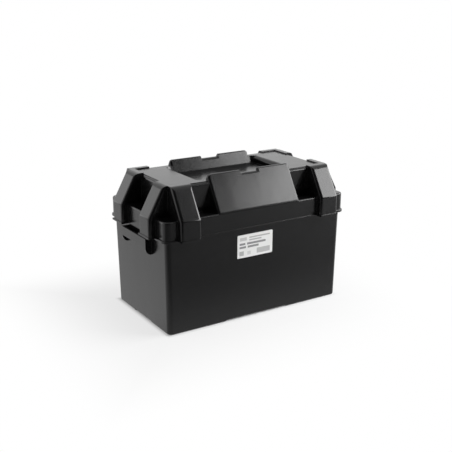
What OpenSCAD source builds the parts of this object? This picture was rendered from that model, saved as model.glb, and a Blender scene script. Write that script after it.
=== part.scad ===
// Storage case: a moulded tub and a lid that lifts off.
// Millimetres. X runs along the case, the front is at -Y, and Z is up.
// The origin is on the ground, under the middle of the case.

/* [Lid skirt] */
// Length of the lid's skirt
skirt_l = 354; // [342:1:380]
// Width of the lid's skirt
skirt_w = 200; // [190:1:215]
// Height of the skirt's lower edge above the ground
skirt_bottom = 159.4; // [150:0.2:164]
// Height of the skirt, from its lower edge to its top
skirt_h = 32.5; // [26:0.5:40]
// Corner radius of the skirt, seen from above
skirt_r = 11; // [8:0.5:16]
// Rounding along the skirt's top edge
skirt_edge_r = 3; // [1:0.5:5]
// Wall thickness of the lid
lid_wall = 2.5; // [1.8:0.1:3]

/* [Lid top] */
// Length of the raised plateau
core_l = 301.7; // [290:0.5:312]
// Width of the raised plateau
core_w = 142.6; // [136:0.5:150]
// Height of the plateau above the skirt's top
core_h = 47.7; // [40:0.5:56]
// Rounding along the plateau's edge
core_edge_r = 4.5; // [2:0.5:6]
// Corner radius of the plateau, seen from above
core_r = 8; // [5:0.5:12]
// Height of the raised deck inside the plateau's rounded edge
deck_step = 1; // [0.4:0.1:2]
// Distance of the deck's edge from that rounding
deck_gap = 0.6; // [0.2:0.1:3]
// Corner radius of the deck, seen from above
deck_r = 3; // [1:0.5:6]

/* [Pillars] */
// How far the pillars stand out from the skirt
pillar_out = 11.3; // [8:0.1:14]
// Rounding of the pillars' two outer edges
pillar_edge_r = 5; // [3:0.5:7]
// Rounding where a pillar's face starts to lean back
pillar_knee_r = 6; // [3:0.5:12]
// Rounding where a pillar's leaning face meets its cap
pillar_shoulder_r = 12.5; // [4:0.5:14]
// Width of the pillars on the front and back
side_pillar_w = 36.7; // [28:0.5:42]
// Distance of those pillars' middles from the middle of the case
side_pillar_x = 136; // [128:0.5:138]
// Width of the pillars on the two ends
end_pillar_w = 36; // [24:0.5:40]
// Distance of those pillars' middles from the middle of the case
end_pillar_y = 49.4; // [46:0.2:52]
// Height of a pillar's foot above the skirt's lower edge
pillar_foot = 1.4; // [0:0.2:4]
// Height of a pillar's cap above the plateau
cap_h = 2; // [1:0.2:3]
// How far a cap runs inward over the plateau
cap_in = 5; // [3:0.5:8]

/* [Grip] */
// Length of the two upstanding fins
fin_l = 161; // [140:1:166]
// Height of the fins above the plateau
fin_h = 9.8; // [6:0.2:14]
// Rounding where a fin's outer face starts to lean back above the skirt
fin_knee_r = 10; // [4:0.5:10]
// Rounding of the fins' upright and leaning edges
fin_edge_r = 4.5; // [3:0.5:6]
// Rounding of the fins' top corners, seen from the front
fin_top_r = 7; // [2:0.5:8]
// Thickness of a fin at its crest; its inner face leans from the channel's floor up to there
crest_t = 4; // [3.5:0.5:7]
// Rounding along the two long edges of a fin's crest
crest_r = 2.5; // [1:0.5:3]
// Length of the notch in the middle of each fin, along its floor
notch_l = 35; // [24:1:50]
// How much further the notch reaches on each side at the crest
notch_flare = 0.8; // [0:0.2:5]
// Depth of that notch
notch_d = 4.8; // [3:0.2:6]
// Rounding along the two long edges of the notch's floor
notch_edge_r = 6; // [1:0.5:7]
// Length of the channel between the fins
channel_l = 174; // [168:1:190]
// Width of the channel's floor
channel_w = 103.4; // [90:0.2:110]
// Depth of the channel below the plateau
channel_d = 11.6; // [8:0.2:18]
// Rounding at the channel's two ends
channel_end_r = 8; // [4:0.5:9]
// Corner radius of the channel, seen from above
channel_r = 14; // [8:0.5:18]

/* [Skirt beads] */
// How far the thin bead stands out along the front and back
bead_out = 1.2; // [0.6:0.1:2]
// Height of the thin bead
bead_h = 2; // [1:0.2:3]
// How far the bead stands out round the four corners
corner_bead_out = 2.4; // [2:0.2:4]
// Height of the corner bead
corner_bead_h = 4; // [3:0.5:7]
// How far the corner bead hangs below the skirt
corner_bead_drop = 1.4; // [0:0.2:2]
// Rounding along the corner bead's upper edge
corner_bead_edge_r = 1.5; // [0.5:0.1:2]
// How far the bead stands out from a pillar's foot
foot_bead_out = 1.4; // [1:0.2:3]
// Height of the bead at a pillar's foot
foot_bead_h = 2.8; // [2:0.2:4]
// How far that bead hangs below the pillar's foot
foot_bead_drop = 2; // [0:0.2:3]

/* [Tub] */
// Length of the tub at the ground
tub_l = 342; // [330:1:344]
// Width of the tub at the ground
tub_w = 188.5; // [180:0.5:190]
// How much wider the tub gets on each side, from the ground to its rim
tub_draft = 2.6; // [1:0.1:3]
// Corner radius of the tub
tub_r = 9; // [6:0.5:12]
// Rounding along the tub's lower edge
tub_edge_r = 3; // [1:0.5:3.5]
// Wall thickness of the tub
tub_wall = 2.8; // [2:0.1:3.2]
// Height of the feet
foot_h = 3.5; // [2:0.5:5]
// Gap between the feet along the front and back
foot_gap_x = 126; // [90:1:160]
// Gap between the feet along the two ends
foot_gap_y = 62; // [40:1:80]

/* [Strap loops] */
// Length of the bar, from cheek to cheek, cheeks included
loop_l = 88; // [70:1:110]
// Height of the bar
loop_bar_h = 15.5; // [10:0.5:18]
// Thickness of the bar and of the two cheeks
loop_t = 3; // [2:0.2:4]
// Gap between the bar and the wall at the bar's top, where the strap goes
loop_gap = 7.8; // [5:0.2:10]
// Height of the loop's top edge above the ground
loop_top = 152.6; // [120:0.2:153]
// Height of the cheeks
cheek_h = 27.6; // [22:0.2:34]

/* [Label] */
// Length of the label
label_l = 70; // [50:1:90]
// Height of the label
label_h = 40; // [25:1:50]
// Thickness of the label
label_t = 0.3; // [0.2:0.1:0.6]
// Where the label's middle is along the front wall
label_x = -7.4; // [-60:0.2:60]
// Height of the label's lower edge above the ground
label_bottom = 108; // [60:1:110]
// Corner radius of the label
label_r = 2; // [0:0.5:4]

/* [Hidden] */

case_black = "#161616";
label_white = "#f4f4f2";

// Steps in a quarter of a rounded edge and in a smaller turn, and facets round a post
arc_steps = 6;
turn_steps = 4;
post_fn = 32;
// Length by which a cutting shape runs past what it cuts
past = 1;
// Depth by which one form is sunk into the one below it
sunk = 8;
// Reach of long shapes that others cut off
far = 150;
// Thinnest slab, and how far a shape stands out from a leaning face that another one cuts it to
thin = 0.01;
spare = 0.02;
// Least rounding left on an inner edge
least_r = 0.5;

skirt_top = skirt_bottom + skirt_h;
plateau = skirt_top + core_h;
fin_top = plateau + fin_h;
cap_top = plateau + cap_h;
channel_floor = plateau - channel_d;
// The lid's ledges rest on the tub's rim
rim_top = skirt_top - lid_wall;
wall_in = rim_top - tub_edge_r;

// Lean of the lid's front and back above the skirt, and of the fins' inner faces
side_lean = atan((skirt_w - core_w) / 2 / core_h);
crest_in = skirt_w / 2 - (fin_top - skirt_top) * tan(side_lean) - crest_t;
fin_lean = atan((crest_in - channel_w / 2) / (fin_top - channel_floor));
// Level inside the skirt where the fins start
fin_low = skirt_top - sunk;

// Points of an arc about c, from angle a0 to angle a1
function arc(c, r, a0, a1, n = arc_steps) =
    [for (i = [0:n]) let (a = a0 + (a1 - a0) * i / n) c + r * [cos(a), sin(a)]];

// Arc of radius r that rounds the corner p between edges that face the angles a0 and a1
function rounded(p, r, a0, a1, n = arc_steps) =
    let (mid = (a0 + a1) / 2, reach = r / cos((a1 - a0) / 2))
    arc(p - reach * [cos(mid), sin(mid)], r, a0, a1, n);

// Half the width of the channel, grown by t, at height z
function channel_side(t, z) = channel_w / 2 + t / cos(fin_lean) + (z - channel_floor) * tan(fin_lean);

// Half the width of the tub on one side, at height z, from its half width at the ground
function drafted(half, z) = half + tub_draft * max(0, z - tub_edge_r) / wall_in;

module at_corners(l, w) {
    for (sx = [-1, 1], sy = [-1, 1]) translate([sx * l / 2, sy * w / 2, 0]) children();
}

module at_ends() {
    for (a = [0, 180]) rotate([0, 0, a]) children();
}

// Flat plate with rounded corners, standing on z0
module plate(l, w, r, z0, z1) {
    translate([0, 0, z0]) linear_extrude(z1 - z0) {
        square([l - 2 * r, w], center = true);
        square([l, w - 2 * r], center = true);
        at_corners(l - 2 * r, w - 2 * r) circle(r, $fn = post_fn);
    }
}

// Block with rounded corners and a rounded top edge
module soft_block(l, w, r, e, z0, z1) {
    profile = concat([[0, z0], [r, z0]], arc([r - e, z1 - e], e, 0, 90), [[0, z1]]);
    hull() at_corners(l - 2 * r, w - 2 * r) rotate_extrude($fn = post_fn) polygon(profile);
}

// ---- Tub ----

// The tub's form, drawn in by t all round, with its wall leaning out towards the rim
module tub_form(t, z_top) {
    r = tub_r - t;
    e = max(tub_edge_r - t, least_r);
    l = tub_l - 2 * tub_r;
    w = tub_w - 2 * tub_r;
    foot = concat([[0, t]], arc([r - e, tub_edge_r], e, -90, 0), [[0, tub_edge_r]]);
    lean = 2 * tub_draft * (z_top - tub_edge_r) / wall_in;
    hull() {
        at_corners(l, w) rotate_extrude($fn = post_fn) polygon(foot);
        at_corners(l + lean, w + lean) translate([0, 0, z_top - thin]) cylinder(thin, r = r, $fn = post_fn);
    }
}

// The two crossing gaps between the feet, grown by t
module foot_gaps(t) {
    top = foot_h + t;
    for (size = [[foot_gap_x + 2 * t, 2 * tub_w], [2 * tub_l, foot_gap_y + 2 * t]])
        translate([-size[0] / 2, -size[1] / 2, -past]) cube([size[0], size[1], top + past]);
}

// Strap loop on the +X end: a bar held off the wall by two cheeks
module strap_loop() {
    wall_x = drafted(tub_l / 2, loop_top);
    bar_in = wall_x + loop_gap;
    bar_out = bar_in + loop_t;
    cheek_r = bar_out - wall_x;
    low = loop_top - cheek_h;
    root = wall_x - tub_wall;
    cheek = concat([[root, loop_top], [root, low]],
                   arc([bar_out - cheek_r, low + cheek_r], cheek_r, -90, 0), [[bar_out, loop_top]]);
    translate([bar_in, -loop_l / 2, loop_top - loop_bar_h]) cube([loop_t, loop_l, loop_bar_h]);
    for (y = [-loop_l / 2, loop_l / 2 - loop_t])
        translate([0, y + loop_t, 0]) rotate([90, 0, 0]) linear_extrude(loop_t) polygon(cheek);
}

module tub() {
    color(case_black) {
        difference() {
            tub_form(0, rim_top);
            difference() {
                tub_form(tub_wall, rim_top + past);
                foot_gaps(tub_wall);
            }
            foot_gaps(0);
        }
        at_ends() strap_loop();
    }
}

// ---- Lid ----

// One pillar on the +X side of a skirt that is 2 * edge across, drawn in by t.
// Its face is upright beside the skirt and leans back beside the plateau.
module pillar(edge, core_edge, width, t) {
    face = edge + pillar_out - t;
    tilt = atan((edge - core_edge) / core_h);
    knee = skirt_top - t * tan(tilt / 2);
    root = core_edge - cap_in + t;
    top = cap_top - t;
    bottom = t > 0 ? skirt_bottom - 3 * past : skirt_bottom + pillar_foot;
    shoulder = face - (top - knee) * tan(tilt);
    side = concat([[root, bottom], [face, bottom]],
                  rounded([face, knee], pillar_knee_r - t, 0, tilt, turn_steps),
                  rounded([shoulder, top], pillar_shoulder_r - t, tilt, 90, turn_steps), [[root, top]]);
    intersection() {
        translate([0, width, 0]) rotate([90, 0, 0]) linear_extrude(2 * width) polygon(side);
        rounded_bar(face, width - 2 * t, pillar_edge_r - t, knee, 0);
        rounded_bar(face, width - 2 * t, pillar_edge_r - t, knee, tilt);
    }
}

// Long bar whose face looks along +X from x = face, with both edges of the face rounded.
// It leans back by tilt about the level z.
module rounded_bar(face, width, r, z, tilt) {
    deep = face - far;
    half = width / 2;
    section = concat([[deep, -half]], arc([face - r, r - half], r, -90, 0),
                     arc([face - r, half - r], r, 0, 90), [[deep, half]]);
    translate([face, 0, z]) rotate([0, -tilt, 0]) translate([-face, 0, -far])
        linear_extrude(2 * far) polygon(section);
}

// Calls its children for each of the eight pillars, with $edge, $core and $width set
module each_pillar() {
    for (a = [0, 180]) {
        for (y = [-end_pillar_y, end_pillar_y]) {
            $edge = skirt_l / 2;
            $core = core_l / 2;
            $width = end_pillar_w;
            rotate([0, 0, a]) translate([0, y, 0]) children();
        }
        for (x = [-side_pillar_x, side_pillar_x]) {
            $edge = skirt_w / 2;
            $core = core_w / 2;
            $width = side_pillar_w;
            rotate([0, 0, a + 90]) translate([0, x, 0]) children();
        }
    }
}

// Bar along the front of the lid, drawn in by t, up to the level crest: outer and inner
// faces lean towards each other, and the top's long edges are rounded by r
module ridge(t, crest, r, length) {
    face = skirt_w / 2 - t;
    knee = skirt_top - t * tan(side_lean / 2);
    top = crest - t;
    brow = (top - knee) * tan(side_lean) - face;
    root = channel_side(t, channel_floor) - spare;
    edge_r = max(r - t, least_r);
    side = concat([[-face, fin_low]], rounded([-face, knee], fin_knee_r - t, 180, 180 - side_lean, turn_steps),
                  rounded([brow, top], edge_r, 180 - side_lean, 90, turn_steps),
                  rounded([spare - channel_side(t, top), top], edge_r, 90, fin_lean, turn_steps),
                  [[-root, channel_floor], [-root, fin_low]]);
    rotate([90, 0, 90]) linear_extrude(length, center = true) polygon(side);
}

// Fin on the front, drawn in by t but solid along its crest, with the notch cut through its middle
module fin(t) {
    half = fin_l / 2 - t;
    top = fin_top - t;
    front = concat([[half, fin_low]], rounded([half, top], fin_top_r, 0, 90),
                   rounded([-half, top], fin_top_r, 90, 180), [[-half, fin_low]]);
    difference() {
        intersection() {
            ridge(t, t > 0 ? fin_top - crest_r : fin_top, crest_r, fin_l);
            rotate([90, 0, 0]) linear_extrude(skirt_w) polygon(front);
            rotate([0, 0, -90]) rounded_bar(skirt_w / 2 - t, 2 * half, fin_edge_r - t,
                                            skirt_top - t * tan(side_lean / 2), side_lean);
            rotate([0, 0, 90]) rounded_bar(2 * spare - channel_side(t, channel_floor), 2 * half,
                                           fin_edge_r - t, channel_floor, fin_lean);
        }
        notch(t);
    }
    ridge(t, fin_top - notch_d, notch_edge_r, notch_l + 2 * (t + past));
}

// Notch through the front fin, grown by t and deep enough for a rounded floor to be put in
module notch(t) {
    half = notch_l / 2 + t;
    low = fin_top - notch_d - t;
    base = low - notch_edge_r;
    up = fin_top + past;
    mouth = half + notch_flare * (up - low) / notch_d;
    shape = [[-mouth, up], [-half, low], [-half, base], [half, base], [half, low], [mouth, up]];
    rotate([90, 0, 0]) linear_extrude(skirt_w / 2) polygon(shape);
}

// The channel between the fins, grown by t, with leaning sides and ends that flare out to the plateau
module channel(t) {
    half = channel_l / 2 + t;
    e = channel_end_r;
    low = channel_floor - t;
    up = fin_top + past;
    right = concat([[half, low]], arc([half + e, plateau - e], e, 180, 90), [[half + e, up]]);
    left = [for (i = [len(right) - 1:-1:0]) [-right[i][0], right[i][1]]];
    intersection() {
        rotate([90, 0, 0]) linear_extrude(skirt_w, center = true) polygon(concat(right, left));
        hull() for (z = [low, up]) plate(2 * (half + e), 2 * channel_side(t, z), channel_r + t, z, z + thin);
    }
}

// The lid's whole form without the channel, drawn in by t
module lid_form(t) {
    deck_in = core_edge_r + deck_gap + t;
    low = t > 0 ? skirt_bottom - 3 * past : skirt_bottom;
    skirt_edge = max(skirt_edge_r - t, least_r);
    soft_block(skirt_l - 2 * t, skirt_w - 2 * t, skirt_r - t, skirt_edge, low, skirt_top - t);
    soft_block(core_l - 2 * t, core_w - 2 * t, core_r - t, core_edge_r - t / 2,
               skirt_top - sunk, plateau - deck_step - t);
    plate(core_l - 2 * deck_in, core_w - 2 * deck_in, deck_r, plateau - sunk, plateau - t);
    each_pillar() pillar($edge, $core, $width, t);
    at_ends() fin(t);
}

// Beads round the skirt's lower edge: thin along the sides, heavy round the corners
module beads() {
    heavy = 2 * corner_bead_out;
    side_in = side_pillar_x + side_pillar_w / 2;
    end_in = end_pillar_y + end_pillar_w / 2;
    end_out = end_pillar_y - end_pillar_w / 2;
    difference() {
        plate(skirt_l + 2 * bead_out, skirt_w + 2 * bead_out, skirt_r + bead_out,
              skirt_bottom, skirt_bottom + bead_h);
        cube([2 * skirt_l, 2 * end_out, 4 * skirt_top], center = true);
    }
    intersection() {
        soft_block(skirt_l + heavy, skirt_w + heavy, skirt_r + corner_bead_out, corner_bead_edge_r,
                   skirt_bottom - corner_bead_drop, skirt_bottom - corner_bead_drop + corner_bead_h);
        at_corners(2 * side_in + skirt_l, 2 * end_in + skirt_w)
            cube([skirt_l, skirt_w, 4 * skirt_top], center = true);
    }
    each_pillar() translate([$edge - sunk, -$width / 2, skirt_bottom + pillar_foot - foot_bead_drop])
        cube([sunk + pillar_out + foot_bead_out, $width, foot_bead_h]);
}

module lid() {
    color(case_black) difference() {
        union() {
            lid_form(0);
            beads();
        }
        channel(0);
        difference() {
            lid_form(lid_wall);
            channel(lid_wall);
        }
    }
}

// ---- Label ----

module label() {
    r = max(label_r, thin);
    y0 = drafted(tub_w / 2, label_bottom);
    lean = atan(tub_draft / wall_in);
    color(label_white) translate([label_x, -y0, label_bottom]) rotate([90 + lean, 0, 0])
        linear_extrude(label_t) translate([0, label_h / 2]) {
            square([label_l - 2 * r, label_h], center = true);
            square([label_l, label_h - 2 * r], center = true);
            at_corners(label_l - 2 * r, label_h - 2 * r) circle(r, $fn = post_fn);
        }
}

tub();
lid();
label();
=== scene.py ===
import math

import bmesh
import bpy
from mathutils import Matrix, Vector


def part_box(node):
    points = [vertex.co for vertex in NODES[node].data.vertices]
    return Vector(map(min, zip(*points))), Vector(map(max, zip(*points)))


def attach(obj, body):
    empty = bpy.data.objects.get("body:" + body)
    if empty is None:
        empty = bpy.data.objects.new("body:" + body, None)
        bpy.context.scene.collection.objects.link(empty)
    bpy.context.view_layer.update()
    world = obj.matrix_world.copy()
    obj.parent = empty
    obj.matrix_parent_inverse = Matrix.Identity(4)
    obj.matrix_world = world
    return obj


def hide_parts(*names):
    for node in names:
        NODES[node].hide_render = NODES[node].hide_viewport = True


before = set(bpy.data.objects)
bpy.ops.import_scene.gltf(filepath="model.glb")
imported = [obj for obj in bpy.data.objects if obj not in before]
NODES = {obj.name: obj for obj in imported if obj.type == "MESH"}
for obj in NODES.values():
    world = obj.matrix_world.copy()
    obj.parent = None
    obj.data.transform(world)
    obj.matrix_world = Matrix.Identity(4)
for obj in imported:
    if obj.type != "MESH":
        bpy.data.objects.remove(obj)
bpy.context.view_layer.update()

# Looks of the storage case: a black moulded tub with its lift-off lid, and a white label with plain bars.
# Lengths are in metres, in the frame's own axes: X along the case, -Y to the front, Z up.

# Camera of the photograph
CAMERA_AZIMUTH = math.radians(-32.15)
CAMERA_ELEVATION = math.radians(17.25)
CAMERA_DISTANCE = 1.4009
CAMERA_TARGET = Vector((-0.00405, 0, 0.1337))
CAMERA_SENSOR = 36
CAMERA_LENS = 63.39

# Rounding that the shading gives to every sharp edge of the mouldings
EDGE_ROUNDING = 0.0009
EDGE_SAMPLES = 6
# Faces that meet at less than this angle are shaded as one smooth surface
SHARP_ANGLE = math.radians(29)
# Vertices this close are one, and faces this level with each other are one flat face
WELD = 0.000001
FLAT_ANGLE = math.radians(0.5)
FLAT_DEPTH = 0.00002
SQUARE_MM = 1e6

BLACK = (0.007, 0.007, 0.0073)
SPECULAR_LEVEL = 0.34
# A cloudy noise varies the plastic's colour, as shares of it, and its roughness
CLOUD_SCALE, CLOUD_DETAIL = 60.0, 4.0
TINT = (0.85, 1.15)
PLASTIC_ROUGHNESS = (0.17, 0.23)
# Relief of the surfaces: how deep it is, and how strongly it shows
GRAIN_SCALE, GRAIN_DETAIL = 2600.0, 2.0
GRAIN_RELIEF = (0.00006, 0.35)
WAVE_SCALE, WAVE_DETAIL = 28.0, 2.0
WAVE_STRETCH = (1.0, 1.0, 0.35)
WAVE_RELIEF = (0.002, 0.10)
FIBRE_SCALE, FIBRE_DETAIL = 1800.0, 3.0
FIBRE_RELIEF = (0.00003, 0.4)
PAPER_ROUGHNESS = (0.38, 0.52)
PAPER = (0.86, 0.86, 0.85, 1)
PRINT = (0.16, 0.16, 0.165, 1)
WHITE = (1, 1, 1, 1)
# Bars and blocks on the label: left, right, bottom and top as shares of its size, and how dark
LABEL_PRINT = (
    (0.07, 0.26, 0.74, 0.88, 0.40),
    (0.33, 0.92, 0.82, 0.88, 0.55),
    (0.33, 0.68, 0.71, 0.77, 0.55),
    (0.06, 0.22, 0.55, 0.64, 0.85),
    (0.27, 0.80, 0.55, 0.64, 0.85),
    (0.06, 0.24, 0.41, 0.50, 0.85),
    (0.29, 0.60, 0.41, 0.50, 0.85),
    (0.55, 0.93, 0.10, 0.33, 0.50),
    (0.06, 0.18, 0.10, 0.29, 0.55),
    (0.28, 0.38, 0.10, 0.26, 0.25),
)
FLOOR_LEVEL = 0.9
FLOOR_SIZE = 60
# Half the case's footprint along each axis, and how far from its outline the full shadow fades out
FOOTPRINT = (("X", 0.171), ("Y", 0.0943))
CONTACT = 0.008
# Share of plain white in the floor as it is seen beside the case, and how far off it is all white
NEAR_WHITE = 0.74
ALL_WHITE = 0.22
# Mirrored in the case, the floor's colour is painted dim in front, a painted shade in the case's
# reflections, and it goes to white further back
MIRROR_PAINTED_SHADE_LEVEL = 0.4
MIRROR_FRONT = -0.3
MIRROR_BACK = 0.0

# Sky: how bright it lights matt surfaces, and the dim room in front of the case that it falls off to
SKY_LEVEL = 0.35
ROOM_LEVEL = 0.04
ROOM_AZIMUTH = math.radians(-22)
ROOM_ELEVATION = math.radians(12)
ROOM_EDGE = math.radians(40)
ROOM_FADE = math.radians(35)
# Softboxes: name, azimuth and elevation in degrees, distance, width and height, radiance
SOFTBOXES = (
    ("left_softbox", -132, 12, 2.5, (3.6, 1.0), 1.1),
    ("back_softbox", 150, 20, 2.5, (2.6, 1.2), 0.2),
    ("right_softbox", 64, 24, 1.5, (1.2, 0.9), 9.5),
)


def unit(azimuth, elevation):
    """Direction from the case towards something seen at that azimuth and elevation."""
    return Vector((
        math.sin(azimuth) * math.cos(elevation),
        -math.cos(azimuth) * math.cos(elevation),
        math.sin(elevation),
    ))


def link(obj):
    bpy.context.scene.collection.objects.link(obj)
    return obj


# ---- Materials ----

class Nodes:
    """Short ways to add and join the nodes of one material or world."""

    def __init__(self, owner):
        owner.use_nodes = True
        self.tree = owner.node_tree
        self.tree.nodes.clear()

    def add(self, kind, **values):
        node = self.tree.nodes.new(kind)
        for name, value in values.items():
            if hasattr(node, name):
                setattr(node, name, value)
            else:
                node.inputs[name.replace("_", " ").title()].default_value = value
        return node

    def join(self, source, target):
        self.tree.links.new(source, target)

    def math(self, operation, a, b=0.0):
        node = self.add("ShaderNodeMath", operation=operation)
        for socket, value in zip(node.inputs, (a, b)):
            if isinstance(value, (int, float)):
                socket.default_value = value
            else:
                self.join(value, socket)
        return node.outputs[0]

    def between(self, value, low, high):
        """1 where a value lies between low and high, otherwise 0."""
        above = self.math("GREATER_THAN", value, low)
        return self.math("MULTIPLY", above, self.math("LESS_THAN", value, high))

    def spread(self, value, low, high):
        """A 0 to 1 value mapped to low to high."""
        node = self.add("ShaderNodeMapRange")
        self.join(value, node.inputs["Value"])
        node.inputs["To Min"].default_value = low
        node.inputs["To Max"].default_value = high
        return node.outputs["Result"]

    def ramp(self, value, source, target):
        """A value eased from one target to the other while it goes from one source to the other."""
        node = self.add("ShaderNodeMapRange", interpolation_type="SMOOTHSTEP")
        self.join(value, node.inputs["Value"])
        for name, limit in zip(("From Min", "From Max", "To Min", "To Max"), (*source, *target)):
            node.inputs[name].default_value = limit
        return node.outputs["Result"]

    def noise(self, where, scale, detail):
        node = self.add("ShaderNodeTexNoise", scale=scale, detail=detail)
        self.join(where, node.inputs["Vector"])
        return node.outputs["Fac"]

    def stretched(self, where, factors):
        node = self.add("ShaderNodeVectorMath", operation="MULTIPLY")
        self.join(where, node.inputs[0])
        node.inputs[1].default_value = factors
        return node.outputs[0]

    def bump(self, height, distance, strength, after=None):
        node = self.add("ShaderNodeBump", distance=distance, strength=strength)
        self.join(height, node.inputs["Height"])
        if after:
            self.join(after, node.inputs["Normal"])
        return node.outputs["Normal"]


def black_plastic():
    """Satin black moulded plastic: a fine grain, a faint waviness and small changes in gloss."""
    material = bpy.data.materials.new("case_plastic")
    n = Nodes(material)
    where = n.add("ShaderNodeTexCoord").outputs["Object"]
    grain = n.noise(where, GRAIN_SCALE, GRAIN_DETAIL)
    wave = n.noise(n.stretched(where, WAVE_STRETCH), WAVE_SCALE, WAVE_DETAIL)
    cloud = n.noise(where, CLOUD_SCALE, CLOUD_DETAIL)
    shader = n.add("ShaderNodeBsdfPrincipled")
    shader.inputs["Specular IOR Level"].default_value = SPECULAR_LEVEL
    tint = n.add("ShaderNodeMix", data_type="RGBA")
    n.join(cloud, tint.inputs["Factor"])
    for end, share in zip(("A", "B"), TINT):
        tint.inputs[end].default_value = (*(share * c for c in BLACK), 1)
    n.join(tint.outputs["Result"], shader.inputs["Base Color"])
    n.join(n.spread(cloud, *PLASTIC_ROUGHNESS), shader.inputs["Roughness"])
    rounded = n.add("ShaderNodeBevel", samples=EDGE_SAMPLES, radius=EDGE_ROUNDING).outputs["Normal"]
    waved = n.bump(wave, *WAVE_RELIEF, rounded)
    n.join(n.bump(grain, *GRAIN_RELIEF, waved), shader.inputs["Normal"])
    n.join(shader.outputs[0], n.add("ShaderNodeOutputMaterial").inputs["Surface"])
    return material


def label_paper(low, high):
    """Smooth white label stock with plain grey bars and blocks in place of print."""
    material = bpy.data.materials.new("label_paper")
    n = Nodes(material)
    where = n.add("ShaderNodeTexCoord").outputs["Object"]
    split = n.add("ShaderNodeSeparateXYZ")
    n.join(where, split.inputs[0])
    across = n.math("DIVIDE", n.math("SUBTRACT", split.outputs["X"], low.x), high.x - low.x)
    up = n.math("DIVIDE", n.math("SUBTRACT", split.outputs["Z"], low.z), high.z - low.z)
    ink = 0.0
    for left, right, bottom, top, darkness in LABEL_PRINT:
        inside = n.math("MULTIPLY", n.between(across, left, right), n.between(up, bottom, top))
        ink = n.math("MAXIMUM", n.math("MULTIPLY", inside, darkness), ink)
    mix = n.add("ShaderNodeMix", data_type="RGBA")
    n.join(ink, mix.inputs["Factor"])
    mix.inputs["A"].default_value = PAPER
    mix.inputs["B"].default_value = PRINT
    shader = n.add("ShaderNodeBsdfPrincipled")
    n.join(mix.outputs["Result"], shader.inputs["Base Color"])
    fibre = n.noise(where, FIBRE_SCALE, FIBRE_DETAIL)
    n.join(n.spread(fibre, *PAPER_ROUGHNESS), shader.inputs["Roughness"])
    n.join(n.bump(fibre, *FIBRE_RELIEF), shader.inputs["Normal"])
    n.join(shader.outputs[0], n.add("ShaderNodeOutputMaterial").inputs["Surface"])
    return material


def mirrored(n):
    """1 for the rays that see a surface in a reflection or through something, otherwise 0."""
    rays = n.add("ShaderNodeLightPath").outputs
    return n.math("MAXIMUM", rays["Is Glossy Ray"], rays["Is Transmission Ray"])


def floor_material():
    """A matt floor that is seen whiter than it is lit, most of all far from the case; in the case's
    reflections its colour is painted dim in front, a painted shade, and white further back.
    """
    material = bpy.data.materials.new("floor")
    n = Nodes(material)
    matt = n.add("ShaderNodeBsdfDiffuse")
    # Painted shade: mirrored rays see the floor's colour dimmed, so the case's walls reflect a darker floor
    n.join(n.spread(mirrored(n), FLOOR_LEVEL, MIRROR_PAINTED_SHADE_LEVEL), matt.inputs["Color"])
    white = n.add("ShaderNodeEmission")
    split = n.add("ShaderNodeSeparateXYZ")
    n.join(n.add("ShaderNodeNewGeometry").outputs["Position"], split.inputs[0])
    along, across = (
        n.math("SUBTRACT", n.math("ABSOLUTE", split.outputs[axis]), half)
        for axis, half in FOOTPRINT
    )
    away = n.math("MAXIMUM", along, across)
    beside = n.ramp(away, (-CONTACT, CONTACT), (0.0, 1.0))
    share = n.math("MULTIPLY", beside, n.ramp(away, (0.0, ALL_WHITE), (NEAR_WHITE, 1.0)))
    behind = n.ramp(split.outputs["Y"], (MIRROR_FRONT, MIRROR_BACK), (0.0, 1.0))
    direct = n.add("ShaderNodeLightPath").outputs["Is Camera Ray"]
    seen = n.math("MAXIMUM", n.math("MULTIPLY", direct, share), n.math("MULTIPLY", mirrored(n), behind))
    mix = n.add("ShaderNodeMixShader")
    n.join(seen, mix.inputs[0])
    n.join(matt.outputs[0], mix.inputs[1])
    n.join(white.outputs[0], mix.inputs[2])
    n.join(mix.outputs[0], n.add("ShaderNodeOutputMaterial").inputs["Surface"])
    return material


# ---- Pieces ----

def flat_regions(form):
    """For each face, the weight of its flat region, which is the area squared, and the region's normal."""
    regions = {}
    for seed in sorted(form.faces, key=lambda face: -face.calc_area()):
        if seed in regions:
            continue
        members, waiting = {seed}, [seed]
        while waiting:
            for edge in waiting.pop().edges:
                for face in edge.link_faces:
                    level = abs((face.calc_center_median() - seed.verts[0].co).dot(seed.normal)) < FLAT_DEPTH
                    if face not in members and level and face.normal.angle(seed.normal, 0) < FLAT_ANGLE:
                        members.add(face)
                        waiting.append(face)
        area = SQUARE_MM * sum(face.calc_area() for face in members)
        regions.update({face: (area ** 2, seed.normal.copy()) for face in members})
    return regions


def corner_normals(form):
    """A normal for each face corner: flat regions stay flat, and what lies between them turns smoothly."""
    form.normal_update()
    regions = flat_regions(form)
    normals = []
    for face in form.faces:
        for loop in face.loops:
            around = [regions[other] for other in loop.vert.link_faces]
            near = [
                count * normal for count, normal in around
                if normal.angle(face.normal, math.pi) < SHARP_ANGLE
            ]
            normals.append(sum(near, Vector()).normalized())
    return normals


def dress(node, name, material, body):
    """Put a copy of a CAD node in its place, with its rounded edges shaded smoothly."""
    form = bmesh.new()
    form.from_mesh(NODES[node].data)
    bmesh.ops.remove_doubles(form, verts=form.verts, dist=WELD)
    normals = corner_normals(form)
    for face in form.faces:
        face.smooth = True
    mesh = bpy.data.meshes.new(name)
    form.to_mesh(mesh)
    form.free()
    mesh.normals_split_custom_set(normals)
    mesh.materials.append(material)
    piece = link(bpy.data.objects.new(name, mesh))
    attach(piece, body)
    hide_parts(node)


def make_pieces():
    plastic = black_plastic()
    dress("tub", "tub_shell", plastic, "tub")
    dress("lid", "lid_shell", plastic, "lid")
    low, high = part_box("label")
    dress("label", "label_sheet", label_paper(low, high), "tub")


# ---- Stage ----

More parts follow.
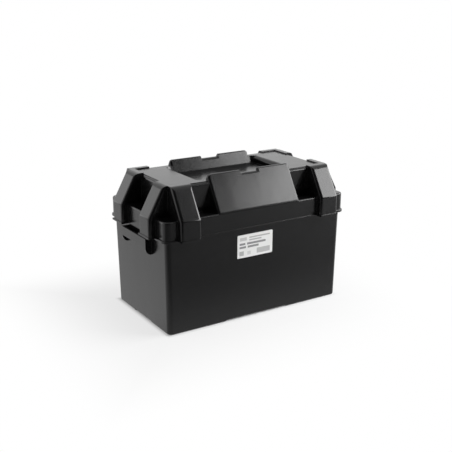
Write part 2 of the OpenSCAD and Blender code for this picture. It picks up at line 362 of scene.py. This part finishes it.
def make_floor():
    mesh = bpy.data.meshes.new("floor")
    half = FLOOR_SIZE / 2
    corners = [(-half, -half, 0), (half, -half, 0), (half, half, 0), (-half, half, 0)]
    mesh.from_pydata(corners, [], [(0, 1, 2, 3)])
    mesh.materials.append(floor_material())
    link(bpy.data.objects.new("floor", mesh))


def make_sky():
    """A white sky, full white where the camera sees it, that falls off to a dim room in front."""
    world = bpy.data.worlds.new("sky")
    bpy.context.scene.world = world
    n = Nodes(world)
    towards = n.add("ShaderNodeVectorMath", operation="DOT_PRODUCT")
    n.join(n.add("ShaderNodeTexCoord").outputs["Generated"], towards.inputs[0])
    towards.inputs[1].default_value = unit(ROOM_AZIMUTH, ROOM_ELEVATION)
    edge = math.cos(ROOM_EDGE + ROOM_FADE), math.cos(ROOM_EDGE)
    room = n.ramp(towards.outputs["Value"], edge, (1.0, ROOM_LEVEL))
    level = n.math("MULTIPLY", room, n.spread(mirrored(n), SKY_LEVEL, 1.0))
    direct = n.add("ShaderNodeLightPath").outputs["Is Camera Ray"]
    light = n.add("ShaderNodeBackground")
    light.inputs["Color"].default_value = WHITE
    n.join(n.math("MAXIMUM", direct, level), light.inputs["Strength"])
    n.join(light.outputs[0], n.add("ShaderNodeOutputWorld").inputs["Surface"])


def make_softbox(name, azimuth, elevation, distance, size, radiance):
    """A rectangular softbox aimed at the case, which the camera doesn't see."""
    light = bpy.data.lights.new(name, "AREA")
    light.shape = "RECTANGLE"
    light.size, light.size_y = size
    light.energy = radiance * math.pi * size[0] * size[1]
    lamp = link(bpy.data.objects.new(name, light))
    lamp.visible_camera = False
    away = unit(azimuth, elevation)
    lamp.location = CAMERA_TARGET + distance * away
    lamp.rotation_mode = "QUATERNION"
    lamp.rotation_quaternion = away.to_track_quat("Z", "Y")


def make_lights():
    make_sky()
    for name, azimuth, elevation, distance, size, radiance in SOFTBOXES:
        make_softbox(name, math.radians(azimuth), math.radians(elevation), distance, size, radiance)


def make_camera():
    camera = link(bpy.data.objects.new("camera", bpy.data.cameras.new("camera")))
    back = unit(CAMERA_AZIMUTH, CAMERA_ELEVATION)
    camera.location = CAMERA_TARGET + CAMERA_DISTANCE * back
    camera.rotation_mode = "QUATERNION"
    camera.rotation_quaternion = back.to_track_quat("Z", "Y")
    camera.data.sensor_width = CAMERA_SENSOR
    camera.data.lens = CAMERA_LENS
    bpy.context.scene.camera = camera


make_camera()
make_lights()
make_floor()
make_pieces()
bpy.context.scene.view_settings.view_transform = "Standard"
bpy.context.view_layer.update()
